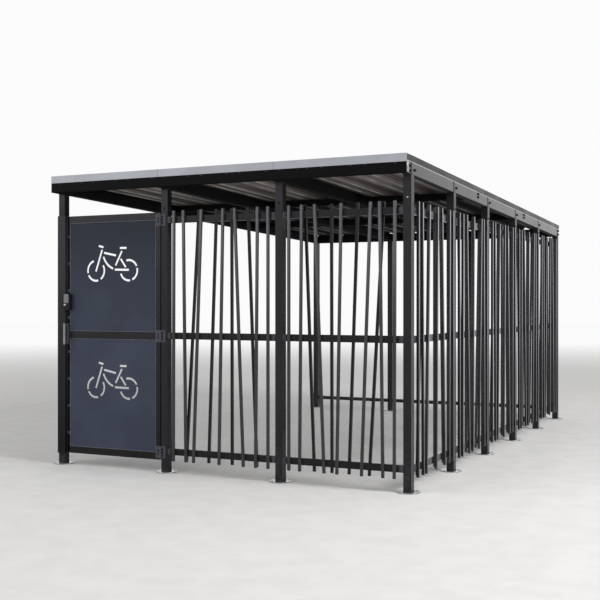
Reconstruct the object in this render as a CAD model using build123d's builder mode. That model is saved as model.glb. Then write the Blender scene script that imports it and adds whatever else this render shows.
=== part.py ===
"""Bike shelter: a low-pitched steel cage, three bays wide and five deep, with a door in its front."""

import os
from math import atan2, cos, sin

from build123d import *

os.makedirs("parts", exist_ok=True)

# Plan: bays are measured from post centre to post centre.
front_bay = 1000
front_bays = 3
side_bay = 1000
side_bays = 5

# Posts: square tube welded on a round foot with two anchor holes. The corner feet have true bores,
# and the feet between them have holes of few sides, as the foot's rim has, because they repeat.
post_side = 60
foot_d = 165
foot_thick = 8
foot_sides = 20
anchor_d = 12
anchor_sides = 12
anchor_circle_d = 130
anchors = 2
anchor_turn = 45

# Roof frame: everything in it leans with the fall to the rear.
underside = 2218
roof_fall = 140
front_overhang = 130
rear_overhang = 60
beam_height = 90
front_beam_thick = 40
beam_joint = 2
purlin_rows = 2
purlin_width = 40
purlin_height = 60
rear_beam_width = 60

# Roof sheets: ribs run down the fall, and each pan carries a shallow bead.
ribs_per_sheet = 3
rib_height = 39
rib_top = 40
rib_foot = 100
bead_height = 5
bead_top = 24
bead_foot = 44
sheet_thick = 1.5
sheet_gap = 2

# Trim: folded angles close the roof's front and its two sides.
trim_thick = 3
fascia_lap = 15
fascia_flange = 90
verge_flange = 50
trim_gap = 2

# Bar panels: three flat rails between two posts, with leaning bars on both faces of them.
# The bars stop short of the ground and of the roof frame at its lowest.
rails = 3
rail_height = 52
rail_depth = 20
rail_setback = 2
rail_end_inset = 68
bar_side = 20
bar_foot_gap = 97
bar_head_gap = 40
outer_top_shares = (0.086, 0.190, 0.294, 0.504, 0.730, 0.798, 0.912)
outer_foot_shares = (0.086, 0.174, 0.369, 0.470, 0.660, 0.822, 0.907)
inner_top_shares = (0.200, 0.411, 0.617, 0.816)
inner_foot_shares = (0.275, 0.415, 0.549, 0.705)

# Low rail along the foot of the rear, which has no bars.
low_rail_height = 40
low_rail_depth = 40
low_rail_middle = 125

# Door leaf, hung in the first bay of the front.
door_gap = 8
door_bottom = 96
door_headroom = 186
leaf_thick = 40
lock_stile = 40
lock_rebate = 20
lock_rebate_depth = 25
hinge_stile = 42
top_rail = 56
middle_rail = 60
bottom_rail = 56
door_sheet_thick = 3
door_sheet_setback = 4
tab_gap = 5
tab_height = 22
tabs = 4

# Bicycle sign cut through each door sheet, as a stencil: places are shares of the wheel base.
sign_rise_share = 0.555
wheel_base = 319
wheel_r = 81
stroke = 16
front_wheel_arcs = ((106, 87), (206, 79), (304, 88))
rear_wheel_arcs = ((24, 83), (294, 78), (199, 80))
tube_end_shares = (
    ((-0.505, -0.020), (-0.314, 0.527)),
    ((-0.417, 0.627), (-0.270, 0.591)),
    ((-0.257, 0.450), (0.113, 0.376)),
    ((0.292, 0.486), (0.100, 0.125)),
    ((0.229, 0.560), (0.433, 0.560)),
    ((0.254, 0.288), (0.408, 0.078)),
    ((0.075, 0.021), (0.503, 0.010)),
)
down_tube_shares = ((-0.270, 0.351), (-0.154, 0.163), (0.025, 0.047))

# Surface hinges: a plate on the stile and one on the post, with the pin in front of the gap.
hinge_height = 96
hinge_inset = 60
hinge_plate_thick = 5
hinge_plate_width = 36
knuckle_d = 18
knuckle_gap = 1
pin_d = 8
pin_clearance = 0.3

# Furniture on the lock stile, and the cover strip that reaches from its edge over the post beside it.
lock_width = 58
lock_height = 132
lock_depth = 36
lock_corner = 6
lock_middle = 1332
lock_inset = 8
pull_gap = 109
pull_length = 172
pull_d = 20
pull_stem_d = 14
pull_stand = 45
pull_plate_width = 32
pull_plate_thick = 4
cover_width = 75
cover_lap = 7
cover_thick = 10
cover_clear = 6
cover_drop = 6
cover_rise = 5

# Worked out from the sizes above.
width = front_bays * front_bay
depth = side_bays * side_bay
half_post = post_side / 2
left_x = -width / 2
right_x = width / 2
fall = atan2(roof_fall, depth)
front_reach = front_overhang * cos(fall) - (beam_height - fascia_lap) * sin(fall)
front_y = -(depth + foot_d / 2 - front_reach) / 2
rear_y = front_y + depth
front_face_y = front_y - half_post
slope_bay = side_bay / cos(fall)
slope_depth = depth / cos(fall)
roof_front = -(front_overhang - trim_thick)
roof_rear = slope_depth + rear_overhang
rafter_front = roof_front + front_beam_thick
rafter_rear = slope_depth + half_post
bar_top = underside - roof_fall - bar_head_gap
bar_length = bar_top - bar_foot_gap
panel_middle = (bar_top + bar_foot_gap) / 2
rail_spacing = (bar_length - 2 * rail_end_inset) / (rails - 1)
door_top = underside - door_headroom
cover_bottom = door_bottom - cover_drop
cover_top = door_top + cover_rise
pull_middle = lock_middle - lock_height / 2 - pull_gap - pull_length / 2
rib_pitch = front_bay / ribs_per_sheet
rib_crest = beam_height + rib_height + sheet_thick
roof_edge = right_x + half_post
roof = Plane(origin=(0, front_y, underside), x_dir=(1, 0, 0), z_dir=(0, sin(fall), cos(fall)))
rafter_lines = [left_x + index * front_bay for index in range(front_bays + 1)]


def keep(piece, name):
    """Labels one finished piece and writes it out under that name."""
    piece.label = name
    export_step(piece, f"parts/{name}.step")


def patch(plane, x_from, x_to, y_from, y_to):
    """A rectangle on a plane, between two corners."""
    with BuildSketch(plane) as area:
        with Locations(((x_from + x_to) / 2, (y_from + y_to) / 2)):
            Rectangle(x_to - x_from, y_to - y_from)
    return area.sketch


def post(name, x, y):
    """A square post on its round foot, cut at the top to the fall of the roof."""
    corner = abs(x) == right_x and y in (front_y, rear_y)
    with BuildPart() as upright:
        with BuildSketch(Plane.XY):
            with Locations((x, y)):
                RegularPolygon(foot_d / 2, foot_sides)
                with PolarLocations(anchor_circle_d / 2, anchors, start_angle=anchor_turn):
                    if corner:
                        Circle(anchor_d / 2, mode=Mode.SUBTRACT)
                    else:
                        RegularPolygon(anchor_d / 2, anchor_sides, mode=Mode.SUBTRACT)
        extrude(amount=foot_thick)
        with BuildSketch(Plane.XY.offset(foot_thick)):
            with Locations((x, y)):
                Rectangle(post_side, post_side)
        extrude(amount=underside)
        split(bisect_by=roof, keep=Keep.BOTTOM)
    keep(upright.part, name)


def leaning_bars(plane, pitch, top_shares, foot_shares, turned):
    """The outlines of the bars on one face of a panel, each from its foot share to its top share."""
    with BuildSketch(plane) as bars:
        for top_share, foot_share in zip(top_shares, foot_shares):
            if turned:
                top_share, foot_share = 1 - foot_share, 1 - top_share
            top_x = top_share * pitch
            foot_x = foot_share * pitch
            with BuildLine():
                Polyline(
                    (foot_x - bar_side / 2, bar_foot_gap),
                    (foot_x + bar_side / 2, bar_foot_gap),
                    (top_x + bar_side / 2, bar_top),
                    (top_x - bar_side / 2, bar_top),
                    close=True,
                )
            make_face()
    return bars.sketch


def bar_panel(name, plane, pitch, turned):
    """One welded panel between two posts. The plane stands on the first post's centre, facing out."""
    rail_front = half_post - rail_setback
    rail_back = rail_front - rail_depth
    with BuildPart() as panel:
        with BuildSketch(plane.offset(rail_back)):
            with Locations((pitch / 2, panel_middle)):
                with GridLocations(pitch, rail_spacing, 1, rails):
                    Rectangle(pitch - post_side, rail_height)
        extrude(amount=rail_depth)
        extrude(
            leaning_bars(plane.offset(rail_front), pitch, outer_top_shares, outer_foot_shares, turned),
            amount=bar_side,
        )
        extrude(
            leaning_bars(plane.offset(rail_back), pitch, inner_top_shares, inner_foot_shares, turned),
            amount=-bar_side,
        )
    keep(panel.part, name)


# Posts stand along the front, the rear and the right side. The left side is open between its corners.
for index, x in enumerate(rafter_lines):
    post(f"front_post_{index + 1}", x, front_y)
    post(f"rear_post_{index + 1}", x, rear_y)
for index in range(1, side_bays):
    post(f"right_post_{index}", right_x, front_y + index * side_bay)

# Bar panels fill the front beside the door and the whole right side, every second one upside down.
for index in range(1, front_bays):
    front_plane = Plane(
        origin=(rafter_lines[index], front_y, 0), x_dir=(1, 0, 0), z_dir=(0, -1, 0)
    )
    bar_panel(f"front_panel_{index}", front_plane, front_bay, index % 2 == 1)
for index in range(side_bays):
    side_plane = Plane(
        origin=(right_x, front_y + index * side_bay, 0), x_dir=(0, 1, 0), z_dir=(1, 0, 0)
    )
    bar_panel(f"right_panel_{index + 1}", side_plane, side_bay, index % 2 == 0)

# The low rail is cut to fit between the rear posts.
low_rail_base = Plane.XY.offset(low_rail_middle - low_rail_height / 2)
with BuildPart() as rear_rail:
    for x in rafter_lines[:-1]:
        extrude(
            patch(
                low_rail_base,
                x + half_post,
                x + front_bay - half_post,
                rear_y - low_rail_depth / 2,
                rear_y + low_rail_depth / 2,
            ),
            amount=low_rail_height,
        )
keep(rear_rail.part, "rear_low_rail")

# Rafters run down the fall over the posts. The one on the right side is jointed over every post.
for index, x in enumerate(rafter_lines):
    jointed = index == front_bays
    joints = [row * slope_bay for row in range(1, side_bays)] if jointed else []
    starts = [rafter_front] + [joint + beam_joint / 2 for joint in joints]
    ends = [joint - beam_joint / 2 for joint in joints] + [rafter_rear]
    with BuildPart() as rafter:
        for start, end in zip(starts, ends):
            extrude(patch(roof, x - half_post, x + half_post, start, end), amount=beam_height)
    keep(rafter.part, f"rafter_{index + 1}")

# The front beam crosses the rafters' ends in front of the posts.
with BuildPart() as front_beam:
    extrude(patch(roof, -roof_edge, roof_edge, roof_front, rafter_front), amount=beam_height)
keep(front_beam.part, "front_beam")

# Purlins and the rear beam are cut to fit between the rafters, level with their tops.
for row in range(1, purlin_rows + 1):
    middle = row * slope_depth / (purlin_rows + 1)
    with BuildPart() as purlin:
        for x in rafter_lines[:-1]:
            extrude(
                patch(
                    roof.offset(beam_height),
                    x + half_post,
                    x + front_bay - half_post,
                    middle - purlin_width / 2,
                    middle + purlin_width / 2,
                ),
                amount=-purlin_height,
            )
    keep(purlin.part, f"purlin_{row}")
with BuildPart() as rear_beam:
    for x in rafter_lines[:-1]:
        extrude(
            patch(
                roof,
                x + half_post,
                x + front_bay - half_post,
                slope_depth - rear_beam_width / 2,
                slope_depth + rear_beam_width / 2,
            ),
            amount=beam_height,
        )
keep(rear_beam.part, "rear_beam")


# Roof sheets: one to a bay, lapped on a crest over each rafter.
across_roof = Plane(origin=roof.origin, x_dir=(1, 0, 0), z_dir=-roof.y_dir)
pan = beam_height + sheet_thick


def roof_sheet(name, line):
    """One ribbed sheet from the rafter line given to the next, as long as the roof."""
    upper = [(line + sheet_gap / 2, rib_crest)]
    for index in range(ribs_per_sheet):
        rib = line + index * rib_pitch
        bead = rib + rib_pitch / 2
        next_rib = rib + rib_pitch
        upper += [
            (rib + rib_top / 2, rib_crest),
            (rib + rib_foot / 2, pan),
            (bead - bead_foot / 2, pan),
            (bead - bead_top / 2, pan + bead_height),
            (bead + bead_top / 2, pan + bead_height),
            (bead + bead_foot / 2, pan),
            (next_rib - rib_foot / 2, pan),
            (next_rib - rib_top / 2, rib_crest),
        ]
    upper.append((line + front_bay - sheet_gap / 2, rib_crest))
    lower = [(x, height - sheet_thick) for x, height in reversed(upper)]
    with BuildPart() as sheet:
        with BuildSketch(across_roof.offset(-roof_front)):
            with BuildLine():
                Polyline(*upper, *lower, close=True)
            make_face()
        extrude(amount=roof_front - roof_rear)
    keep(sheet.part, name)


for index in range(front_bays):
    roof_sheet(f"roof_sheet_{index + 1}", rafter_lines[index])

# Fascia: one folded length to a bay, over the sheets' ends and the top of the front beam.
fascia_ends = [-roof_edge] + rafter_lines[1:-1] + [roof_edge]
with BuildPart() as fascia:
    for index in range(front_bays):
        start = fascia_ends[index] + (trim_gap / 2 if index > 0 else 0)
        end = fascia_ends[index + 1] - (trim_gap / 2 if index < front_bays - 1 else 0)
        extrude(
            patch(roof.offset(beam_height - fascia_lap), start, end, -front_overhang, roof_front),
            amount=rib_crest + trim_thick - beam_height + fascia_lap,
        )
        extrude(
            patch(roof.offset(rib_crest), start, end, roof_front, fascia_flange - front_overhang),
            amount=trim_thick,
        )
keep(fascia.part, "fascia")

# Verge trim: an angle on each outer rafter, from the fascia to the rear end of the sheets.
for side, name in ((-1, "left_verge"), (1, "right_verge")):
    inner, outer = sorted((side * (roof_edge - trim_thick), side * roof_edge))
    flange_from, flange_to = sorted((side * (roof_edge - verge_flange), side * roof_edge))
    with BuildPart() as verge:
        extrude(
            patch(roof.offset(beam_height), inner, outer, roof_front, roof_rear),
            amount=rib_crest - beam_height,
        )
        extrude(
            patch(
                roof.offset(rib_crest),
                flange_from,
                flange_to,
                fascia_flange - front_overhang + trim_gap,
                roof_rear,
            ),
            amount=trim_thick,
        )
    keep(verge.part, name)

# Door leaf: a welded frame level with the fronts of the posts, its lock stile stepped back beside the sheets.
door_face = Plane(origin=(0, front_face_y, 0), x_dir=(1, 0, 0), z_dir=(0, -1, 0))
leaf_left = left_x + half_post + door_gap
leaf_right = left_x + front_bay - half_post - door_gap
leaf_middle = (door_bottom + door_top) / 2
lock_land = leaf_left + lock_stile - lock_rebate
sheet_left = leaf_left + lock_stile + tab_gap
sheet_right = leaf_right - hinge_stile
sheet_bays = (
    ("door_lower_sheet", door_bottom + bottom_rail, leaf_middle - middle_rail / 2),
    ("door_upper_sheet", leaf_middle + middle_rail / 2, door_top - top_rail),
)
with BuildPart() as door_frame:
    extrude(patch(door_face, leaf_left, leaf_right, door_bottom, door_top), amount=-leaf_thick)
    for name, low, high in sheet_bays:
        extrude(
            patch(door_face, leaf_left + lock_stile, sheet_right, low, high),
            amount=-leaf_thick,
            mode=Mode.SUBTRACT,
        )
    extrude(
        patch(door_face, lock_land, leaf_left + lock_stile, door_bottom, door_top),
        amount=-lock_rebate_depth,
        mode=Mode.SUBTRACT,
    )
keep(door_frame.part, "door_frame")


def bicycle_sign(plane, x, y):
    """The stencil's strokes: broken wheels, the frame's tubes, a handlebar and a saddle."""
    with BuildSketch(plane) as sign:
        with BuildLine():
            for hub, arcs in ((-wheel_base / 2, front_wheel_arcs), (wheel_base / 2, rear_wheel_arcs)):
                for start_angle, arc_angle in arcs:
                    CenterArc((x + hub, y), wheel_r, start_angle, arc_angle)
            for ends in tube_end_shares:
                Line(*[(x + across * wheel_base, y + up * wheel_base) for across, up in ends])
            ThreePointArc(
                *[(x + across * wheel_base, y + up * wheel_base) for across, up in down_tube_shares]
            )
        trace(line_width=stroke)
    return sign.sketch


# Door sheets: set back in the frame, tabbed across the step to the lock stile, with the sign cut through.
for name, low, high in sheet_bays:
    sheet_plane = door_face.offset(-door_sheet_setback)
    with BuildPart() as door_sheet:
        extrude(patch(sheet_plane, sheet_left, sheet_right, low, high), amount=-door_sheet_thick)
        with BuildSketch(sheet_plane):
            with Locations(((lock_land + sheet_left) / 2, (low + high) / 2)):
                with GridLocations(tab_gap, (high - low) / tabs, 1, tabs):
                    Rectangle(sheet_left - lock_land, tab_height)
        extrude(amount=-door_sheet_thick)
        extrude(
            bicycle_sign(sheet_plane, (sheet_left + sheet_right) / 2, low + sign_rise_share * (high - low)),
            amount=-door_sheet_thick,
            mode=Mode.SUBTRACT,
        )
    keep(door_sheet.part, name)

# Hinges: at the leaf's ends and its middle. The post's knuckles hold the pin, the leaf's turns on it.
pin_x = leaf_right + door_gap / 2
pin_y = front_face_y - knuckle_d / 2
knuckle_height = (hinge_height - 2 * knuckle_gap) / 3
plate_near = knuckle_d / 2 + knuckle_gap
plate_far = plate_near + hinge_plate_width
hinge_heights = (door_bottom + hinge_inset, leaf_middle, door_top - hinge_inset)


def round_on_pin(base, diameter):
    """A circle about the hinge pin at a height."""
    with BuildSketch(Plane.XY.offset(base)) as ring:
        with Locations((pin_x, pin_y)):
            Circle(diameter / 2)
    return ring.sketch


with BuildPart() as leaf_hinges:
    for height in hinge_heights:
        low = height - hinge_height / 2
        knuckle_low = height - knuckle_height / 2
        extrude(
            patch(door_face, pin_x - plate_far, pin_x - plate_near, low, low + hinge_height),
            amount=hinge_plate_thick,
        )
        extrude(
            patch(door_face, pin_x - plate_near, pin_x, knuckle_low, knuckle_low + knuckle_height),
            amount=hinge_plate_thick,
        )
        extrude(round_on_pin(knuckle_low, knuckle_d), amount=knuckle_height)
        extrude(
            round_on_pin(knuckle_low, pin_d + 2 * pin_clearance),
            amount=knuckle_height,
            mode=Mode.SUBTRACT,
        )
keep(leaf_hinges.part, "door_hinges")
with BuildPart() as post_hinges:
    for height in hinge_heights:
        low = height - hinge_height / 2
        extrude(
            patch(door_face, pin_x + plate_near, pin_x + plate_far, low, low + hinge_height),
            amount=hinge_plate_thick,
        )
        for knuckle_low in (low, low + hinge_height - knuckle_height):
            extrude(
                patch(door_face, pin_x, pin_x + plate_near, knuckle_low, knuckle_low + knuckle_height),
                amount=hinge_plate_thick,
            )
            extrude(round_on_pin(knuckle_low, knuckle_d), amount=knuckle_height)
        extrude(round_on_pin(low, pin_d), amount=hinge_height)
keep(post_hinges.part, "post_hinges")

# Lock case on the lock stile.
with BuildPart() as lock_case:
    lock_from = leaf_left + lock_inset
    extrude(
        patch(
            door_face,
            lock_from,
            lock_from + lock_width,
            lock_middle - lock_height / 2,
            lock_middle + lock_height / 2,
        ),
        amount=lock_depth,
    )
    fillet(lock_case.edges().filter_by(Axis.Y), lock_corner)
keep(lock_case.part, "lock_case")

# Pull handle: an upright bar on two stems, welded to a plate on the lock stile.
pull_x = leaf_left + lock_inset + pull_plate_width / 2
with BuildPart() as pull:
    extrude(
        patch(
            door_face,
            pull_x - pull_plate_width / 2,
            pull_x + pull_plate_width / 2,
            pull_middle - pull_length / 2,
            pull_middle + pull_length / 2,
        ),
        amount=pull_plate_thick,
    )
    with BuildSketch(door_face):
        with Locations((pull_x, pull_middle)):
            with GridLocations(pull_d, pull_length - 2 * pull_d, 1, 2):
                Circle(pull_stem_d / 2)
    extrude(amount=pull_stand)
    with BuildSketch(Plane.XY.offset(pull_middle - pull_length / 2)):
        with Locations((pull_x, front_face_y - pull_stand)):
            Circle(pull_d / 2)
    extrude(amount=pull_length)
keep(pull.part, "pull_handle")

# Cover strip: its foot is welded down the edge of the lock stile, and it closes the gap and the post's front.
cover_right = leaf_left + cover_lap
with BuildPart() as cover:
    extrude(
        patch(door_face, leaf_left, cover_right, door_bottom, door_top),
        amount=cover_clear,
    )
    extrude(
        patch(
            door_face.offset(cover_clear),
            cover_right - cover_width,
            cover_right,
            cover_bottom,
            cover_top,
        ),
        amount=cover_thick,
    )
keep(cover.part, "lock_cover_strip")
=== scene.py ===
import math

import bmesh
import bpy
from mathutils import Matrix, Vector


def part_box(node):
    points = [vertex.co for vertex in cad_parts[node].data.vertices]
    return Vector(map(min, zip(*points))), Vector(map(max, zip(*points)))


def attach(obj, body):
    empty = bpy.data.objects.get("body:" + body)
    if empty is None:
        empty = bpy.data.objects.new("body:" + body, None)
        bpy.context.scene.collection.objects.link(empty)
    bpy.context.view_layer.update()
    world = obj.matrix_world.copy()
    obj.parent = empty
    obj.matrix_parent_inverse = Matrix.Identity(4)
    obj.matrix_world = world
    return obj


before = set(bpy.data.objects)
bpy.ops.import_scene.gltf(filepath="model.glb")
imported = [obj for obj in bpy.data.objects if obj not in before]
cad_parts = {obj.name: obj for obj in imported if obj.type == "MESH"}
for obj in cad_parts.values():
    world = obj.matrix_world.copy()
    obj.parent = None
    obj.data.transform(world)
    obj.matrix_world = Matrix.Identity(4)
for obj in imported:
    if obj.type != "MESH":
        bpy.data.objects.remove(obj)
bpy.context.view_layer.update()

# Posts: twelve square steel tubes, powder coated in anthracite, each welded on a round foot.
# The foot is left in bare zinc. Tube corners are rolled, so their edges are rounded here.
posts = sorted(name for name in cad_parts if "_post_" in name)
post_half = 0.030
foot_top = 0.008
foot_margin = 0.0015
tube_edge = 0.0026


def shade(red, green, blue):
    """A colour as it looks on screen, from 0 to 255, as the light that it stands for."""
    steps = [value / 255 for value in (red, green, blue)]
    light = [step / 12.92 if step <= 0.04045 else ((step + 0.055) / 1.055) ** 2.4 for step in steps]
    return (*light, 1.0)


def node(tree, kind, inputs=None, **settings):
    """Adds one shader node, with its settings, and its inputs as values or as wires."""
    made = tree.nodes.new("ShaderNode" + kind)
    for key, value in settings.items():
        setattr(made, key, value)
    for key, value in (inputs or {}).items():
        if isinstance(value, bpy.types.NodeSocket):
            tree.links.new(value, made.inputs[key])
        else:
            made.inputs[key].default_value = value
    return made


def wire(made, key, source):
    """Joins a source to one input of a node, in place of any other."""
    made.id_data.links.new(source, made.inputs[key])


def math_of(tree, operation, first, second, clamp=True):
    """One sum of two values or sockets, held between 0 and 1 unless told not to."""
    return node(tree, "Math", {0: first, 1: second}, operation=operation, use_clamp=clamp).outputs[0]


def ramp(tree, value, low, high, from_value=0.0, to_value=1.0):
    """A value spread smoothly from one range over another."""
    inputs = {"Value": value, "From Min": low, "From Max": high, "To Min": from_value, "To Max": to_value}
    return node(tree, "MapRange", inputs, interpolation_type="SMOOTHSTEP").outputs[0]


def mixed(tree, mask, first, second):
    """The colour between two colours, by a mask."""
    return node(tree, "Mix", {0: mask, 6: first, 7: second}, data_type="RGBA").outputs[2]


def place_along(tree, axis):
    """Where a point of the piece lies along X, Y or Z."""
    return node(tree, "SeparateXYZ", {0: node(tree, "TexCoord").outputs["Object"]}).outputs[axis]


def faces_along(tree, axis):
    """How far the surface faces along X, Y or Z."""
    return node(tree, "SeparateXYZ", {0: node(tree, "NewGeometry").outputs["Normal"]}).outputs[axis]


def spot_noise(tree, scale, detail, stretch=(1.0, 1.0, 1.0)):
    """Noise that stays on the piece, at so many spots to the metre."""
    place = node(tree, "TexCoord").outputs["Object"]
    spread = node(tree, "Mapping", {"Vector": place, "Scale": stretch}).outputs[0]
    return node(tree, "TexNoise", {"Vector": spread, "Scale": scale, "Detail": detail}).outputs[0]


def effect_group(name, inputs, outputs):
    """An empty group for an effect that several finishes share."""
    group = bpy.data.node_groups.new(name, "ShaderNodeTree")
    for label, value in inputs.items():
        socket = group.interface.new_socket(label, in_out="INPUT", socket_type="NodeSocketFloat")
        socket.default_value = value
    for label in outputs:
        group.interface.new_socket(label, in_out="OUTPUT", socket_type="NodeSocketFloat")
    return group, group.nodes.new("NodeGroupInput"), group.nodes.new("NodeGroupOutput")


# Orange peel of sprayed and baked powder, and the slow clouds in its gloss.
peel_spots = 520.0
cloud_spots = 3.1
powder_coat, _, coat_out = effect_group("powder_coat", {}, ("Height", "Cloud"))
wire(coat_out, "Height", spot_noise(powder_coat, peel_spots, 2.0))
wire(coat_out, "Cloud", ramp(powder_coat, spot_noise(powder_coat, cloud_spots, 4.0), 0.3, 0.7))

# Rubbed edges: where the rounded normal leaves the flat one, broken up along the edge.
rub_spots = 38.0
edge_wear, wear_in, wear_out = effect_group("edge_wear", {"Radius": 0.003}, ("Mask",))
rounded = node(edge_wear, "Bevel", {"Radius": wear_in.outputs["Radius"]}, samples=4).outputs[0]
flat = node(edge_wear, "NewGeometry").outputs["Normal"]
turn = node(edge_wear, "VectorMath", {0: rounded, 1: flat}, operation="DOT_PRODUCT").outputs["Value"]
edge = ramp(edge_wear, turn, 0.985, 0.86)
broken = ramp(edge_wear, spot_noise(edge_wear, rub_spots, 5.0), 0.44, 0.62)
wire(wear_out, "Mask", math_of(edge_wear, "MULTIPLY", edge, broken))

# Dust: splashed by rain on the lowest parts, and settled on ledges.
dust_grey = shade(116, 112, 107)
splash_spots = 24.0
ledge_spots = 13.0
ledge_share = 0.55
dust_film, dust_in, dust_out = effect_group("dust_film", {"Reach": 0.3, "Amount": 0.12}, ("Mask",))
low_down = ramp(dust_film, place_along(dust_film, "Z"), dust_in.outputs["Reach"], 0.0)
splashes = ramp(dust_film, spot_noise(dust_film, splash_spots, 6.0), 0.38, 0.72)
splash = math_of(dust_film, "MULTIPLY", low_down, splashes)
level_face = ramp(dust_film, faces_along(dust_film, "Z"), 0.5, 1.0)
patches = ramp(dust_film, spot_noise(dust_film, ledge_spots, 5.0), 0.3, 0.8)
settled = math_of(dust_film, "MULTIPLY", math_of(dust_film, "MULTIPLY", level_face, patches), ledge_share)
lying = math_of(dust_film, "MAXIMUM", splash, settled)
wire(dust_out, "Mask", math_of(dust_film, "MULTIPLY", lying, dust_in.outputs["Amount"]))

# Zinc: crystals of about 15 mm, each with a tone of its own.
crystals_to_metre = 66.0
zinc_spangle, _, spangle_out = effect_group("zinc_spangle", {}, ("Tone", "Height"))
zinc_place = node(zinc_spangle, "TexCoord").outputs["Object"]
crystals = node(zinc_spangle, "TexVoronoi", {"Vector": zinc_place, "Scale": crystals_to_metre})
wire(spangle_out, "Tone", node(zinc_spangle, "SeparateColor", {0: crystals.outputs["Color"]}).outputs[0])
wire(spangle_out, "Height", spot_noise(zinc_spangle, 240.0, 4.0))


def new_finish(name):
    """An empty finish: the material, its nodes and its shader."""
    made = bpy.data.materials.new(name)
    made.use_nodes = True
    return made, made.node_tree, made.node_tree.nodes["Principled BSDF"]


def raised(shader, height, strength, distance):
    """Lets a height stand out of the surface, by no more than a distance."""
    bump = node(shader.id_data, "Bump", {"Height": height, "Strength": strength, "Distance": distance})
    wire(shader, "Normal", bump.outputs[0])


def coat_over(shader, colour, worn, roughness, reach, gloss):
    """Powder coat over a colour or a wired one, with clouds in its gloss, rubbed edges and dust."""
    tree = shader.id_data
    coat = node(tree, "Group", node_tree=powder_coat)
    wear = node(tree, "Group", node_tree=edge_wear)
    dust = node(tree, "Group", node_tree=dust_film)
    dust.inputs["Reach"].default_value = reach
    cloud_tone = ramp(tree, coat.outputs["Cloud"], 0.0, 1.0, 1.0, 1.18)
    clouded = node(tree, "HueSaturation", {"Value": cloud_tone, "Color": colour}).outputs[0]
    rubbed = mixed(tree, wear.outputs["Mask"], clouded, worn)
    dusted = mixed(tree, dust.outputs["Mask"], rubbed, dust_grey)
    wire(shader, "Base Color", dusted)
    sheen = ramp(tree, coat.outputs["Cloud"], 0.0, 1.0, roughness - 0.05, roughness + 0.07)
    dull = math_of(tree, "MULTIPLY", dust.outputs["Mask"], 0.85)
    wire(shader, "Roughness", math_of(tree, "MAXIMUM", sheen, dull))
    raised(shader, coat.outputs["Height"], 0.22, 0.0004)
    shader.inputs["Specular IOR Level"].default_value = gloss
    return dusted


def dress(names, finish, edge):
    """Gives made pieces their finish, and rounds their edges by a small radius."""
    for name in names:
        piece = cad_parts[name]
        piece.data.materials.clear()
        piece.data.materials.append(finish)
        joined = piece.modifiers.new("joined_faces", "WELD")
        joined.merge_threshold = 0.00002
        flats = piece.modifiers.new("whole_flats", "DECIMATE")
        flats.decimate_type = "DISSOLVE"
        flats.angle_limit = math.radians(0.5)
        rounding = piece.modifiers.new("rounded_edges", "BEVEL")
        rounding.width = edge
        rounding.segments = 2
        rounding.limit_method = "ANGLE"
        rounding.angle_limit = math.radians(40)
        even = piece.modifiers.new("even_shading", "WEIGHTED_NORMAL")
        even.keep_sharp = False


anthracite = shade(27, 26, 30)
rubbed_paint = shade(84, 83, 86)
zinc = shade(176, 178, 180)
post_paint, post_tree, post_shader = new_finish("post_paint")
post_colour = coat_over(post_shader, anthracite, rubbed_paint, roughness=0.23, reach=0.32, gloss=0.23)
foot_marks = node(post_tree, "Group", node_tree=zinc_spangle)
foot_zinc = mixed(post_tree, foot_marks.outputs["Tone"], shade(150, 152, 155), zinc)
is_foot = math_of(post_tree, "LESS_THAN", place_along(post_tree, "Z"), foot_top + foot_margin)
wire(post_shader, "Base Color", mixed(post_tree, is_foot, post_colour, foot_zinc))
wire(post_shader, "Metallic", is_foot)
dress(posts, post_paint, tube_edge)

# Foot fixings: two flat-headed zinc anchors hold each foot down, each with a sunk drive.
# They stand on the foot's own holes, which lie on a circle, half a quarter turn from the tube's flats.
anchor_reach = 0.065
anchor_turn = math.radians(45)
anchor_profile = [(0.0105, 0.0), (0.0102, 0.0014), (0.0080, 0.0026), (0.0046, 0.0028), (0.0040, 0.0008)]


def round_ring(radius, height, sides):
    """A ring of points about an upright axis."""
    turns = [2 * math.pi * step / sides for step in range(sides)]
    return [(radius * math.cos(turn), radius * math.sin(turn), height) for turn in turns]


def stacked(form, place, rings):
    """Adds a closed form: rings of points, one over the other, with as many points in each."""
    rows = [[form.verts.new(place @ Vector(point)) for point in ring] for ring in rings]
    for low, high in zip(rows, rows[1:]):
        for step in range(len(low)):
            form.faces.new((low[step - 1], low[step], high[step], high[step - 1]))
    form.faces.new(list(reversed(rows[0])))
    form.faces.new(rows[-1])


def turned(form, place, profile, sides):
    """Adds a turned form, or one of few sides, from radii and heights."""
    stacked(form, place, [round_ring(radius, height, sides) for radius, height in profile])


def facing(point, outward):
    """A place on a surface, with its own upright along the way that the surface faces."""
    return Matrix.Translation(point) @ Vector(outward).to_track_quat("Z", "Y").to_matrix().to_4x4()


def fit(name, form, finish, body, smooth_to=38):
    """Turns a built form into a piece that rides on a body, with its finish."""
    bmesh.ops.recalc_face_normals(form, faces=form.faces)
    mesh = bpy.data.meshes.new(name)
    form.to_mesh(mesh)
    form.free()
    mesh.materials.append(finish)
    mesh.shade_smooth()
    mesh.set_sharp_from_angle(angle=math.radians(smooth_to))
    piece = bpy.data.objects.new(name, mesh)
    bpy.context.scene.collection.objects.link(piece)
    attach(piece, body)


def post_centre(name):
    """The middle of a post, at the underside of its foot."""
    low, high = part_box(name)
    return Vector(((low.x + high.x) / 2, (low.y + high.y) / 2, 0.0))


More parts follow.
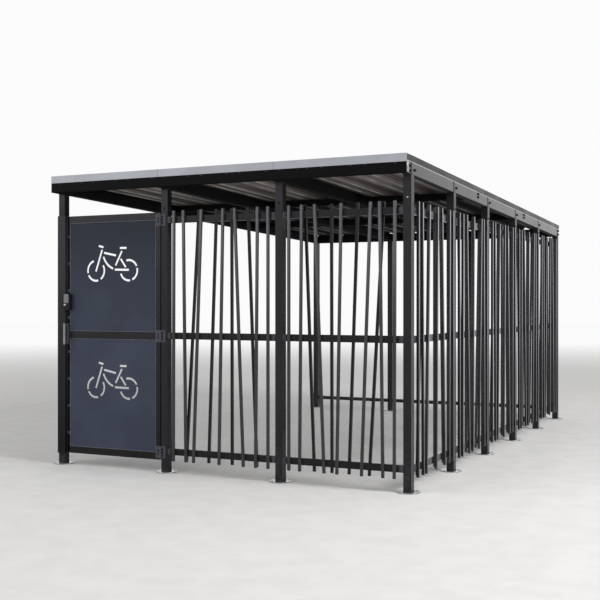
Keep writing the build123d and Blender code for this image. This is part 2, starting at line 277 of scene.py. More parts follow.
zinc_steel, zinc_tree, zinc_shader = new_finish("zinc_steel")
zinc_marks = node(zinc_tree, "Group", node_tree=zinc_spangle)
zinc_dirt = spot_noise(zinc_tree, 90.0, 5.0)
bare_zinc = mixed(zinc_tree, zinc_marks.outputs["Tone"], shade(138, 140, 143), zinc)
dirty_zinc = mixed(zinc_tree, ramp(zinc_tree, zinc_dirt, 0.5, 0.78), bare_zinc, shade(84, 78, 72))
wire(zinc_shader, "Base Color", dirty_zinc)
wire(zinc_shader, "Roughness", ramp(zinc_tree, zinc_dirt, 0.2, 0.8, 0.34, 0.62))
zinc_shader.inputs["Metallic"].default_value = 0.85
raised(zinc_shader, zinc_marks.outputs["Height"], 0.2, 0.0003)

anchors = bmesh.new()
for name in posts:
    for half_turn in (0.0, math.pi):
        reach = Matrix.Rotation(anchor_turn + half_turn, 3, "Z") @ Vector((anchor_reach, 0.0, foot_top))
        turned(anchors, facing(post_centre(name) + reach, (0.0, 0.0, 1.0)), anchor_profile, sides=24)
fit("foot_anchors", anchors, zinc_steel, "shelter")

# Foot welds: one rippled bead along each flat of the tube, where it stands on its foot.
# The bead was laid before the paint, so it carries the paint of the tube.
bead_size = 0.0036
bead_level = foot_top + bead_size * 0.2
ripple = 0.0042
ripple_dip = 0.82
bead_tip = 0.4
foot_corners = [(-1, -1), (1, -1), (1, 1), (-1, 1)]


def coated_steel(name, colour, worn, roughness, reach=0.32, gloss=0.2):
    """Steel with one powder coat all over."""
    made, _, shader = new_finish(name)
    coat_over(shader, colour, worn, roughness, reach, gloss)
    return made


def weld_bead(form, start, end, size, sides=6):
    """Adds one bead between two points, in ripples, thin at both ends."""
    run = Vector(end) - Vector(start)
    count = max(4, 2 * round(run.length / ripple))
    rings = []
    for step in range(count + 1):
        swell = size * (1.0 if step % 2 else ripple_dip)
        if step in (0, count):
            swell = size * bead_tip
        rings.append(round_ring(swell, run.length * step / count, sides))
    stacked(form, facing(start, run), rings)


foot_welds = bmesh.new()
for name in posts:
    middle = post_centre(name)
    for index in range(len(foot_corners)):
        start, end = (
            middle + Vector((across * post_half, along * post_half, bead_level))
            for across, along in (foot_corners[index - 1], foot_corners[index])
        )
        weld_bead(foot_welds, start, end, bead_size)
weld_paint = coated_steel("weld_paint", anthracite, rubbed_paint, roughness=0.34)
fit("foot_welds", foot_welds, weld_paint, "shelter")

# Bar panels: three flat rails between two posts carry eleven leaning square bars, seven on the outer
# face and four behind. They are welded up whole, then powder coated, and the bars are lighter than the
# rails. The bars' outer faces carry a painted highlight that brightens with height, and the side panel's
# other bar faces are darker than the front's as painted shade.
panels = sorted(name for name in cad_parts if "_panel_" in name)
bar_edge = 0.0014
bar_half = 0.010
rail_depth = 0.020
rail_setback = 0.002
rail_middle = post_half - rail_setback - rail_depth / 2
face_slack = 0.0003
panel_dust = 0.14
rail_grey = shade(20, 19, 22)
front_rails = post_centre("front_post_1").y - rail_middle
side_rails = post_centre("right_post_1").x + rail_middle
# Bar tones: the other faces, then the outer faces' painted highlight at its low and its high end.
front_tones = (shade(58, 57, 61), shade(54, 53, 57), shade(92, 91, 96))
side_tones = (shade(38, 37, 41), shade(40, 39, 43), shade(112, 111, 116))


def panel_axes(name):
    """The way along a side of the shelter, and the way that it faces, by the name of a piece of it."""
    if name.startswith("front"):
        return Vector((1.0, 0.0, 0.0)), Vector((0.0, -1.0, 0.0))
    return Vector((0.0, 1.0, 0.0)), Vector((1.0, 0.0, 0.0))


def panel_paint(name, axis, rail_line, tones, painted_light_span, roughness, gloss):
    """The panels' paint: bars are lighter than the rails, and their outer faces carry a painted highlight."""
    made, tree, shader = new_finish(name)
    plain, low_tone, high_tone = tones
    _, outward = panel_axes(name)
    offset = math_of(tree, "SUBTRACT", place_along(tree, axis), rail_line, clamp=False)
    distance = math_of(tree, "ABSOLUTE", offset, 0.0)
    is_bar = math_of(tree, "GREATER_THAN", distance, rail_depth / 2 + face_slack)
    surface = node(tree, "NewGeometry").outputs["Normal"]
    turn = node(tree, "VectorMath", {0: surface, 1: outward}, operation="DOT_PRODUCT").outputs["Value"]
    is_outer = ramp(tree, turn, 0.6, 0.9)
    # Painted highlight on the bars' outer faces, brighter with height.
    outer_painted_highlight = mixed(tree, ramp(tree, place_along(tree, "Z"), *painted_light_span), low_tone, high_tone)
    bars = mixed(tree, is_outer, plain, outer_painted_highlight)
    coat_over(shader, mixed(tree, is_bar, rail_grey, bars), rubbed_paint, roughness, panel_dust, gloss)
    return made


front_panel_paint = panel_paint(
    "front_panel_paint", "Y", front_rails, front_tones, painted_light_span=(1.0, 2.0), roughness=0.28, gloss=0.2
)
side_panel_paint = panel_paint(
    "side_panel_paint", "X", side_rails, side_tones, painted_light_span=(0.2, 1.7), roughness=0.15, gloss=0.5
)
dress([name for name in panels if name.startswith("front")], front_panel_paint, bar_edge)
dress([name for name in panels if name.startswith("right")], side_panel_paint, bar_edge)

# Panel welds: a short tack on both flanks of a bar at each rail that it crosses.
# The tacks were laid before the paint, and carry it.
tack_half = 0.013
tack_size = 0.0026
rail_inset = 0.068
end_slack = 0.0005


def bar_lines(name):
    """Each bar's foot and top, and whether it is an outer one, read from the panel's own ends."""
    along, outward = panel_axes(name)
    points = [corner.co.copy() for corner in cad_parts[name].data.vertices]
    low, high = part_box(name)
    depths = [point.dot(outward) for point in points]
    middle_depth = (max(depths) + min(depths)) / 2
    found = []
    for outer in (True, False):
        ends = []
        for level in (low.z, high.z):
            steps = sorted(
                {
                    round(point.dot(along), 4)
                    for point in points
                    if abs(point.z - level) < end_slack and (point.dot(outward) > middle_depth) == outer
                }
            )
            ends.append([(first + second) / 2 for first, second in zip(steps[::2], steps[1::2])])
        depth = max(depths) - bar_half if outer else min(depths) + bar_half
        for foot, top in zip(*ends):
            foot_point = along * foot + outward * depth + Vector((0.0, 0.0, low.z))
            top_point = along * top + outward * depth + Vector((0.0, 0.0, high.z))
            found.append((foot_point, top_point, outer))
    return found


def rail_levels(name):
    """The heights of a panel's three rails."""
    low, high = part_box(name)
    return [low.z + rail_inset, (low.z + high.z) / 2, high.z - rail_inset]


for name in panels:
    along, outward = panel_axes(name)
    tacks = bmesh.new()
    for foot, top, outer in bar_lines(name):
        lean = (top - foot) / (top.z - foot.z)
        inward = -outward if outer else outward
        for level in rail_levels(name):
            crossing = foot + lean * (level - foot.z) + inward * (bar_half - tack_size * 0.3)
            for flank in (-1, 1):
                side = crossing + along * flank * (bar_half + tack_size * 0.2)
                weld_bead(tacks, side - lean * tack_half, side + lean * tack_half, tack_size, sides=5)
    fit(name + "_welds", tacks, weld_paint, "shelter")

# Bar caps: a black plastic plug closes each end of each bar, with a thin lip and a low crown.
# It is moulded with a fine grain, and pressed into the bar.
cap_lip = 0.0104
cap_lip_rise = 0.0014
cap_crown = 0.0078
cap_rise = 0.0032
cap_corner = 0.002
cap_plastic, cap_tree, cap_shader = new_finish("cap_plastic")
cap_grain = spot_noise(cap_tree, 700.0, 3.0)
cap_fade = ramp(cap_tree, spot_noise(cap_tree, 6.0, 3.0), 0.35, 0.7)
wire(cap_shader, "Base Color", mixed(cap_tree, cap_fade, shade(26, 26, 27), shade(46, 45, 45)))
wire(cap_shader, "Roughness", ramp(cap_tree, cap_grain, 0.2, 0.8, 0.5, 0.66))
raised(cap_shader, cap_grain, 0.3, 0.0002)


def plate_ring(width, length, corner, height, steps=3):
    """A ring of points round a plate with rounded corners."""
    ring = []
    for quarter in range(4):
        turn = math.pi / 2 * quarter
        across = (width / 2 - corner) * (1 if quarter in (0, 3) else -1)
        along = (length / 2 - corner) * (1 if quarter in (0, 1) else -1)
        for step in range(steps + 1):
            angle = turn + math.pi / 2 * step / steps
            ring.append((across + corner * math.cos(angle), along + corner * math.sin(angle), height))
    return ring


caps = bmesh.new()
for name in panels:
    for foot, top, outer in bar_lines(name):
        for point, upward in ((foot, -1.0), (top, 1.0)):
            rings = [
                plate_ring(2 * half, 2 * half, cap_corner, rise, steps=1)
                for half, rise in ((cap_lip, 0.0), (cap_lip, cap_lip_rise), (cap_crown, cap_rise))
            ]
            stacked(caps, facing(point, (0.0, 0.0, upward)), rings)
fit("bar_caps", caps, cap_plastic, "shelter", smooth_to=25)

# Rail brackets: a small painted plate laps each end of a rail on to its post, with one dome-headed bolt.
# It lies on the rail's outer face, between the post and the first bar.
bracket_width = 0.026
bracket_length = 0.046
bracket_thick = 0.003
bracket_clear = 0.002
dome_radius = 0.0078
dome_rise = 0.0046


def plate(form, place, width, length, thick, corner=0.003, edge=0.0006):
    """Adds a flat plate with rounded corners and a broken upper edge."""
    rings = [
        plate_ring(width, length, corner, 0.0),
        plate_ring(width, length, corner, thick - edge),
        plate_ring(width - 2 * edge, length - 2 * edge, corner, thick),
    ]
    stacked(form, place, rings)


def dome_bolt(form, place, radius=dome_radius, rise=dome_rise):
    """Adds a dome head with the sunk drive in its top."""
    dome = [(1.0, 0.0), (1.0, 0.25), (0.9, 0.62), (0.62, 0.93)]
    drive = [(0.46, 1.0), (0.4, 0.45)]
    turned(form, place, [(radius * out, rise * up) for out, up in dome + drive], sides=18)


brackets = bmesh.new()
bracket_bolts = bmesh.new()
for name in panels:
    along, outward = panel_axes(name)
    low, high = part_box(name)
    face = max(point.co.dot(outward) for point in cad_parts[name].data.vertices) - 2 * bar_half
    for end, inward in ((low.dot(along), 1.0), (high.dot(along), -1.0)):
        for level in rail_levels(name):
            middle = end + inward * (bracket_clear + bracket_width / 2)
            point = along * middle + outward * face + Vector((0.0, 0.0, level))
            plate(brackets, facing(point, outward), bracket_width, bracket_length, bracket_thick)
            dome_bolt(bracket_bolts, facing(point + outward * bracket_thick, outward))
bracket_paint = coated_steel("bracket_paint", shade(62, 61, 65), shade(110, 110, 112), roughness=0.36)
fit("rail_brackets", brackets, bracket_paint, "shelter")
fit("rail_bracket_bolts", bracket_bolts, bracket_paint, "shelter")

# Low rail: square steel tube from post to post along the rear, where there are no bars.
# It is set between the posts and painted as they are.
low_rail_paint = coated_steel("low_rail_paint", anthracite, rubbed_paint, roughness=0.34)
dress(["rear_low_rail"], low_rail_paint, tube_edge)

# Roof frame: four rafters with the fall of the roof, a beam across their front ends, two rows of purlins
# and a rear beam between them. All are painted box section and bolted together, with painted shade that
# makes them near-black and matt beneath. The right rafter has a joint at each post and a painted highlight
# along its top edge. The inner frame is near-black as painted shade, and the front beam is the darkest,
# as painted shade under the fascia.
front_line = post_centre("front_post_1").y
rear_line = post_centre("rear_post_1").y
fall = math.atan2(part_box("front_post_1")[1].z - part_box("rear_post_1")[1].z, rear_line - front_line)
roof_up = Vector((0.0, math.sin(fall), math.cos(fall)))
frame_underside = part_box("front_post_1")[1].z - post_half * math.tan(fall)
frame_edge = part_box("rafter_4")[1].x
frame_bevel = 0.003
beam_height = 0.090
side_bays = 5
roof_depth = (rear_line - front_line) / math.cos(fall)
side_bay = roof_depth / side_bays
seam_half = 0.013
top_edge = beam_height - 0.008
painted_underside_shade = shade(11, 11, 12)
seam_black = shade(10, 10, 11)
top_highlight_grey = shade(128, 126, 126)
inner_frame = ["rear_beam", "purlin_1", "purlin_2", "rafter_1", "rafter_2", "rafter_3"]


def on_roof(x, down, rise):
    """A point of the leaning frame: across, down the fall from the front posts, up from its underside."""
    return Vector(
        (
            x,
            front_line + down * math.cos(fall) + rise * math.sin(fall),
            frame_underside - down * math.sin(fall) + rise * math.cos(fall),
        )
    )


def frame_coat(name, colour, worn, roughness, gloss, jointed=False):
    """The roof frame's paint, near-black and matt beneath as painted shade. Where jointed, it has seams and a
    painted highlight along its top edge.
    """
    made, tree, shader = new_finish(name)
    shade_beneath_and_seams = ramp(tree, faces_along(tree, "Z"), -0.6, -0.9)
    tone = mixed(tree, shade_beneath_and_seams, colour, painted_underside_shade)
    if jointed:
        from_first = math_of(tree, "SUBTRACT", place_along(tree, "Y"), front_line - post_half, clamp=False)
        to_seam = math_of(tree, "PINGPONG", from_first, side_bay / 2)
        is_seam = math_of(tree, "LESS_THAN", to_seam, seam_half)
        place = node(tree, "TexCoord").outputs["Object"]
        rise = node(tree, "VectorMath", {0: place, 1: roof_up}, operation="DOT_PRODUCT").outputs["Value"]
        # A painted highlight along the rafter's top edge.
        edge_line = on_roof(0.0, 0.0, top_edge).dot(roof_up)
        is_top_highlight = math_of(tree, "GREATER_THAN", rise, edge_line)
        tone = mixed(tree, is_top_highlight, mixed(tree, is_seam, tone, seam_black), top_highlight_grey)
        shade_beneath_and_seams = math_of(tree, "MAXIMUM", shade_beneath_and_seams, is_seam)
    coat_over(shader, tone, worn, roughness, 0.0, gloss)
    sheen = shader.inputs["Roughness"].links[0].from_socket
    wire(shader, "Roughness", math_of(tree, "MAXIMUM", sheen, shade_beneath_and_seams))
    return made


# The inner frame and the front beam are near-black as painted shade, the front beam under the fascia darkest.
inner_paint = frame_coat("inner_paint", shade(18, 17, 19), rubbed_paint, roughness=0.42, gloss=0.08)
rafter_paint = frame_coat(
    "rafter_paint", shade(34, 33, 36), shade(110, 109, 112), roughness=0.17, gloss=0.42, jointed=True
)
front_beam_paint = frame_coat(
    "front_beam_paint", shade(14, 13, 14), shade(60, 59, 61), roughness=0.5, gloss=0.04
)
dress(inner_frame, inner_paint, frame_bevel)
dress(["rafter_4"], rafter_paint, frame_bevel)
dress(["front_beam"], front_beam_paint, frame_bevel)

# Roof frame bolts: one beside each joint of the right rafter, pairs into the purlins and the rear ends,
# and three about each front corner. A zinc cap closes each end of the front beam, its brightness partly a
# painted highlight of the lit end.
bolt_radius = 0.0105
bolt_rise = 0.0070
bolt_washer = 0.0120
bolt_washer_thick = 0.0020
corner_bolts = [(-0.058, 0.054), (-0.052, 0.020), (0.042, 0.036)]
joint_reach = 0.040
joint_level = 0.040
purlin_lines = (roof_depth / 3, 2 * roof_depth / 3)
purlin_levels = (0.045, 0.072)
rear_reaches = (-0.012, 0.016)
rear_levels = (0.024, 0.066)
beam_thick = 0.040
beam_front = -0.127
beam_middle = beam_front + beam_thick / 2
end_cap_width = beam_thick - 0.004
end_cap_length = beam_height - 0.006
end_cap_thick = 0.003


def washer_and_hexagon(form, place, radius, rise, washer, thick):
    """Adds a washer under a chamfered hexagon, as under a nut or a bolt's head."""
    turned(form, place, [(washer, 0.0), (washer, thick * 0.7), (washer - thick * 0.3, thick)], sides=20)
    seat = place @ Matrix.Translation((0.0, 0.0, thick))
    head = [(0.94, 0.0), (1.0, 0.1), (1.0, 0.82), (0.86, 1.0)]
    turned(form, seat, [(radius * out, rise * up) for out, up in head], sides=6)


frame_bolts = bmesh.new()
end_caps = bmesh.new()
for side in (-1.0, 1.0):
    outward = Vector((side, 0.0, 0.0))
    face_x = side * frame_edge
    places = list(corner_bolts)
    if side > 0.0:
        places += [(row * side_bay + joint_reach, joint_level) for row in range(1, side_bays)]
    places += [(down, level) for down in purlin_lines for level in purlin_levels]
    places += [(roof_depth + reach, level) for reach in rear_reaches for level in rear_levels]
    for down, level in places:
        seat = facing(on_roof(face_x, down, level), outward)
        washer_and_hexagon(frame_bolts, seat, bolt_radius, bolt_rise, bolt_washer, bolt_washer_thick)
    beam_end = facing(on_roof(face_x, beam_middle, beam_height / 2), outward)
    plate(end_caps, beam_end, end_cap_width, end_cap_length, end_cap_thick)
dark_bolt = coated_steel(
    "dark_bolt", shade(14, 14, 15), shade(52, 52, 54), roughness=0.42, reach=0.0, gloss=0.1
)
fit("frame_bolts", frame_bolts, dark_bolt, "shelter")
# The end caps' bright zinc is partly a painted highlight.
fit("beam_end_caps", end_caps, zinc_steel, "shelter")

# Post bolts: one dome-headed bolt high on the outer face of each post, into the roof frame behind.
# They are painted with the post, but the one at the front right corner is left in bright zinc as a
# painted glint. The lock post and the lower rear posts have none.
post_bolt_level = 2.060
post_bolt_radius = 0.0072
post_bolt_rise = 0.0044
post_bolts = bmesh.new()
glinting_corner_bolt = bmesh.new()
for name in posts[1:]:
    if name.startswith("rear"):
        continue
    _, outward = panel_axes(name)
    point = post_centre(name) + outward * post_half + Vector((0.0, 0.0, post_bolt_level))
    # The front right corner's bolt is bright zinc as a painted glint.
    form = glinting_corner_bolt if name == "front_post_4" else post_bolts
    dome_bolt(form, facing(point, outward), post_bolt_radius, post_bolt_rise)
fit("post_bolts", post_bolts, dark_bolt, "shelter")
fit("glinting_corner_bolt", glinting_corner_bolt, zinc_steel, "shelter")

# Roof sheets: ribbed steel sheet, hot-dip zinc that has gone dull grey on top, with a brown-grey coat
# on its underside, which painted shade darkens to near-black from the front edge towards the rear.
# The sheets run with the fall, and rain leaves streaks along their pans.
roof_sheets = ["roof_sheet_1", "roof_sheet_2", "roof_sheet_3"]
along_fall = (1.0, 0.06, 1.0)
long_lines = (1.0, 0.02, 1.0)
roof_steel, roof_tree, roof_shader = new_finish("roof_steel")
roof_marks = node(roof_tree, "Group", node_tree=zinc_spangle)
roof_streaks = spot_noise(roof_tree, 14.0, 5.0, along_fall)
roof_blotch = spot_noise(roof_tree, 1.7, 5.0)
roof_pale = mixed(roof_tree, roof_marks.outputs["Tone"], shade(148, 149, 150), shade(163, 164, 165))
roof_streaked = mixed(roof_tree, ramp(roof_tree, roof_streaks, 0.42, 0.75), roof_pale, shade(134, 133, 131))
roof_aged = mixed(roof_tree, ramp(roof_tree, roof_blotch, 0.45, 0.8), roof_streaked, shade(142, 141, 139))
roof_lines = ramp(roof_tree, spot_noise(roof_tree, 46.0, 3.0, long_lines), 0.46, 0.62)
# Painted shade: the underside darkens from the front edge towards the rear.
painted_shade_depth = ramp(roof_tree, place_along(roof_tree, "Y"), front_line + 0.2, front_line + 2.6)
front_coat = mixed(roof_tree, roof_lines, shade(79, 70, 66), shade(112, 102, 97))
painted_shade_coat = mixed(roof_tree, roof_lines, shade(8, 8, 7), shade(17, 16, 15))
under_coat = mixed(roof_tree, painted_shade_depth, front_coat, painted_shade_coat)
is_top = math_of(roof_tree, "GREATER_THAN", faces_along(roof_tree, "Z"), 0.0)
wire(roof_shader, "Base Color", mixed(roof_tree, is_top, under_coat, roof_aged))
wire(roof_shader, "Metallic", math_of(roof_tree, "MULTIPLY", is_top, 0.55))
top_sheen = ramp(roof_tree, roof_streaks, 0.2, 0.8, 0.30, 0.56)
under_sheen = ramp(roof_tree, painted_shade_depth, 0.0, 1.0, 0.45, 0.95)
roof_sheen = node(roof_tree, "Mix", {0: is_top, 2: under_sheen, 3: top_sheen}).outputs[0]
wire(roof_shader, "Roughness", roof_sheen)
roof_shader.inputs["Specular IOR Level"].default_value = 0.2
raised(roof_shader, roof_marks.outputs["Height"], 0.12, 0.0004)

# The sheet is too thin to have rounded edges, so it only takes its finish.
for name in roof_sheets:
    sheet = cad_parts[name]
    sheet.data.materials.clear()
    sheet.data.materials.append(roof_steel)

# Pan beads: two shallow stiffening beads are pressed into each pan. Beneath, they are coloured bright as a
# painted highlight, which painted shade darkens towards the rear. They stop short of the beams that the
# sheets lie on.
sheet_pans = 3
pans = sheet_pans * len(roof_sheets)
first_rib = -1.5
rib_pitch = (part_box("roof_sheet_2")[1].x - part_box("roof_sheet_1")[1].x) / sheet_pans
bed_lines = [beam_middle, *purlin_lines, roof_depth]
bead_half = 0.007
bead_flat = 0.002
bead_depth = 0.006
bead_run_out = 0.030
bead_clear = 0.045
bead_root = beam_height + 0.0003
bead_steel, bead_tree, bead_shader = new_finish("bead_steel")
# The beads' pale tones are a painted highlight, and painted shade darkens them towards the rear.
bead_painted_shade = ramp(bead_tree, place_along(bead_tree, "Y"), front_line + 0.3, front_line + 2.2)
bead_highlight_patches = ramp(bead_tree, spot_noise(bead_tree, 20.0, 4.0, (1.0, 0.2, 1.0)), 0.35, 0.65)
bead_highlight = mixed(bead_tree, bead_highlight_patches, shade(130, 126, 121), shade(196, 193, 188))
wire(bead_shader, "Base Color", mixed(bead_tree, bead_painted_shade, bead_highlight, shade(30, 28, 27)))
wire(bead_shader, "Roughness", ramp(bead_tree, bead_highlight_patches, 0.0, 1.0, 0.42, 0.28))
bead_shader.inputs["Metallic"].default_value = 0.3
pan_beads = bmesh.new()
for index in range(pans):
    for share in (1 / 3, 2 / 3):
        across = first_rib + (index + share) * rib_pitch
        for bed, next_bed in zip(bed_lines, bed_lines[1:]):
            start = bed + bead_clear
            end = next_bed - bead_clear
            full_from = start + bead_run_out
            full_to = end - bead_run_out
            rings = []
            for down, depth in ((start, 0.0), (full_from, bead_depth), (full_to, bead_depth), (end, 0.0)):
                outline = [(-bead_half, 0.0), (-bead_flat, depth), (bead_flat, depth), (bead_half, 0.0)]
                rings.append([on_roof(across + reach, down, bead_root - sink) for reach, sink in outline])
            stacked(pan_beads, Matrix(), rings)
fit("pan_beads", pan_beads, bead_steel, "shelter", smooth_to=20)

# Roof screws: hexagon-headed zinc screws, each on a washer, through the pans into the frame beneath.
# Each sheet has two in every pan over the front beam, the purlins and the rear beam.
pan_offset = 0.105
sheet_thick = 0.0015
screw_radius = 0.0052
screw_rise = 0.0050
screw_washer = 0.0080
screw_washer_thick = 0.0026
screw_sizes = (screw_radius, screw_rise, screw_washer, screw_washer_thick)
roof_screws = bmesh.new()
for name in roof_sheets:
    sheet_low, sheet_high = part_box(name)
    sheet_left = (sheet_low.x + sheet_high.x) / 2 - sheet_pans / 2 * rib_pitch
    for pan in range(sheet_pans):
        for down in bed_lines:
            for share in (pan_offset, rib_pitch - pan_offset):
                point = on_roof(sheet_left + pan * rib_pitch + share, down, beam_height + sheet_thick)
                seat = facing(point, roof_up)
                washer_and_hexagon(roof_screws, seat, *screw_sizes)
fit("roof_screws", roof_screws, zinc_steel, "shelter")

# Fascia: three lengths of light grey coated steel sheet close the roof's front edge.
# Each is folded back over the crests of the roof sheets, and riveted there.
folded_edge = 0.0008
fascia_paint = coated_steel(
    "fascia_paint", shade(155, 157, 165), shade(196, 198, 203), roughness=0.36, reach=0.0, gloss=0.45
)
dress(["fascia"], fascia_paint, folded_edge)

# Fascia rivets: zinc heads in a row through its top flange, two into the crest of each rib.
# The ribs at the two sides of the roof have only one each.
rib_rise = 0.039
flange_top = beam_height + rib_rise + 3 * sheet_thick
flange_line = -0.062
rivet_reach = 0.012
side_margin = 0.02
rivet_profile = [(0.0044, 0.0), (0.0042, 0.0006), (0.0030, 0.0012), (0.0012, 0.0015)]
rivets = bmesh.new()
for index in range(pans + 1):
    for reach in (-rivet_reach, rivet_reach):
        across = first_rib + index * rib_pitch + reach
        if abs(across) < frame_edge - side_margin:
            turned(rivets, facing(on_roof(across, flange_line, flange_top), roof_up), rivet_profile, sides=14)
fit("fascia_rivets", rivets, zinc_steel, "shelter")

# Fascia clips: the painted flat heads of two screws beneath its lower edge at each rib.
# They go into the face of the front beam.
clip_level = 0.067
clip_reach = 0.055
clip_outward = Vector((0.0, -math.cos(fall), math.sin(fall)))
clip_profile = [(0.0046, 0.0), (0.0046, 0.0012), (0.0038, 0.0020), (0.0016, 0.0022)]
clip_heads = bmesh.new()
for index in range(pans + 1):
    for reach in (-clip_reach, clip_reach):
        across = first_rib + index * rib_pitch + reach
        if abs(across) < frame_edge - side_margin:
            seat = facing(on_roof(across, beam_front, clip_level), clip_outward)
            turned(clip_heads, seat, clip_profile, sides=14)
fit("fascia_clips", clip_heads, bracket_paint, "shelter")

# Verge trim: a dark coated steel angle, folded, along each side of the roof.
# It is screwed down through its top flange with small zinc screws.
verge_start = 0.12
verge_run = roof_depth - 0.2
verge_gaps = 10
verge_inset = 0.026
verge_screw_radius = 0.0055
verge_screw_rise = 0.0030
verge_paint = coated_steel(
    "verge_paint", shade(24, 22, 22), shade(90, 89, 90), roughness=0.3, reach=0.0, gloss=0.15
)
dress(["left_verge", "right_verge"], verge_paint, folded_edge)
verge_screws = bmesh.new()
for side in (-1.0, 1.0):
    for index in range(verge_gaps + 1):
        down = verge_start + index * verge_run / verge_gaps
        seat = facing(on_roof(side * (frame_edge - verge_inset), down, flange_top), roof_up)
        dome_bolt(verge_screws, seat, verge_screw_radius, verge_screw_rise)
fit("verge_screws", verge_screws, zinc_steel, "shelter")

# Door frame: stiles and rails of flat steel tube, welded at the corners and hung on three hinges.
# It has the shelter's paint, with painted shade that darkens it towards the foot.
door_low, door_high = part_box("door_frame")
door_painted_shade_span = (door_low.z, door_high.z)
door_tones = (shade(16, 15, 18), shade(35, 34, 38))
door_edge = 0.0022


def painted_shade_steel(name, tones, painted_light_span, worn, roughness, reach, gloss):
    """Steel with a powder coat whose tone changes between two heights, as painted shade."""
    made, tree, shader = new_finish(name)
    tone = mixed(tree, ramp(tree, place_along(tree, "Z"), *painted_light_span), *tones)
    coat_over(shader, tone, worn, roughness, reach, gloss)
    return made


door_paint = painted_shade_steel(
    "door_paint", door_tones, door_painted_shade_span, rubbed_paint, roughness=0.32, reach=0.10, gloss=0.2
)
dress(["door_frame"], door_paint, door_edge)

# Door sheets: slate blue coated steel set back in the frame, each with the bicycle sign cut through.
# The finish is bluer than the frame's, and painted shade darkens the upper sheet towards its top.
upper_low, upper_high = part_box("door_upper_sheet")
slate_painted_shade_span = (upper_low.z + 0.2, upper_high.z)
slate_tones = (shade(54, 60, 73), shade(38, 43, 53))
worn_slate = shade(100, 105, 114)
sheet_edge = 0.0004
upper_slate = painted_shade_steel(
    "upper_slate", slate_tones, slate_painted_shade_span, worn_slate, roughness=0.44, reach=0.0, gloss=0.12
)
lower_slate = coated_steel(
    "lower_slate", shade(59, 64, 79), worn_slate, roughness=0.44, reach=0.3, gloss=0.12
)
dress(["door_upper_sheet"], upper_slate, sheet_edge)
dress(["door_lower_sheet"], lower_slate, sheet_edge)

# Sheet lips: the edges of the door sheets, folded forward to the frame's face.
# Their rubbed coat shows as a thin pale line round each sheet.
tab_reach = 0.025
lip_width = 0.0045
lip_depth = 0.0036
lip_corner = 0.0008
lip_edge = 0.0005
upright_front = Matrix.Rotation(math.radians(90), 4, "X")
lip_paint = coated_steel("lip_paint", shade(80, 84, 92), shade(136, 138, 142), roughness=0.36, reach=0.0)
lips = bmesh.new()
for name in ("door_upper_sheet", "door_lower_sheet"):
    low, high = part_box(name)
    lock_edge = low.x + tab_reach
    middle_x = (lock_edge + high.x) / 2
    middle_z = (low.z + high.z) / 2
    level_size = (high.x - lock_edge - 2 * lip_width, lip_width)
    upright_size = (lip_width, high.z - low.z)
    for x, z, size in (
        (middle_x, high.z - lip_width / 2, level_size),
        (middle_x, low.z + lip_width / 2, level_size),
        (high.x - lip_width / 2, middle_z, upright_size),
        (lock_edge + lip_width / 2, middle_z, upright_size),
    ):
        place = Matrix.Translation((x, low.y, z)) @ upright_front
        plate(lips, place, *size, lip_depth, lip_corner, lip_edge)
fit("sheet_lips", lips, lip_paint, "door")

# Hinges: three heavy surface hinges, a plate on the stile and one on the post, with turned knuckles.
# Dark countersunk screws hold the plates: two on the stile, three on the post.
hinge_height = 0.096
hinge_plate_thick = 0.005
hinge_screw_reach = 0.020
hinge_screw_rises = {"door": (-0.012, 0.012), "shelter": (-0.024, 0.0, 0.024)}
hinge_screw_profile = [(0.0072, 0.0), (0.0072, 0.0006), (0.0062, 0.0011), (0.0030, 0.0012), (0.0025, -0.0002)]
hinge_paint = coated_steel("hinge_paint", shade(66, 68, 76), shade(104, 104, 108), roughness=0.38)
black_screw = coated_steel(
    "black_screw", shade(9, 9, 10), shade(30, 30, 31), roughness=0.5, reach=0.0, gloss=0.05
)
dress(["door_hinges", "post_hinges"], hinge_paint, folded_edge)
hinge_low, hinge_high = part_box("door_hinges")
pin_x = (hinge_low.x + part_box("post_hinges")[1].x) / 2
hinge_levels = [
    hinge_low.z + hinge_height / 2,
    (hinge_low.z + hinge_high.z) / 2,
    hinge_high.z - hinge_height / 2,
]
plate_face = door_low.y - hinge_plate_thick
front = (0.0, -1.0, 0.0)
for side, name, body in ((-1.0, "door_hinge_screws", "door"), (1.0, "post_hinge_screws", "shelter")):
    screws = bmesh.new()
    for level in hinge_levels:
        for rise in hinge_screw_rises[body]:
            point = Vector((pin_x + side * hinge_screw_reach, plate_face, level + rise))
            turned(screws, facing(point, front), hinge_screw_profile, sides=18)
    fit(name, screws, black_screw, body)

# Lock case: a dark cast case on the lock stile, with a pale cover over its upper part and a small turned
# steel key cylinder below it.
lock_edge_round = 0.003
lock_cover_height = 0.072
lock_cover_width = 0.046
lock_cover_thick = 0.004
lock_cover_corner = 0.006
lock_cover_edge = 0.0012
cover_margin = 0.004
cylinder_reach = 0.016
cylinder_drop = 0.014
cylinder_profile = [(0.0085, 0.0), (0.0085, 0.006), (0.0078, 0.0072), (0.0030, 0.0072), (0.0026, 0.0040)]
lock_grey = coated_steel(
    "lock_grey", shade(24, 24, 26), shade(90, 90, 92), roughness=0.42, reach=0.0, gloss=0.15
)
dress(["lock_case"], lock_grey, lock_edge_round)
lock_low, lock_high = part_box("lock_case")
cover_x = lock_low.x + cover_margin + lock_cover_width / 2
cover_middle = lock_high.z - cover_margin - lock_cover_height / 2
cover_place = Matrix.Translation((cover_x, lock_low.y, cover_middle)) @ upright_front
cover_sizes = (lock_cover_width, lock_cover_height, lock_cover_thick)
cover_grey = coated_steel(
    "lock_cover_grey", shade(118, 118, 122), shade(150, 150, 153), roughness=0.34, reach=0.0
)
lock_cover = bmesh.new()
plate(lock_cover, cover_place, *cover_sizes, lock_cover_corner, lock_cover_edge)
fit("lock_cover", lock_cover, cover_grey, "door")
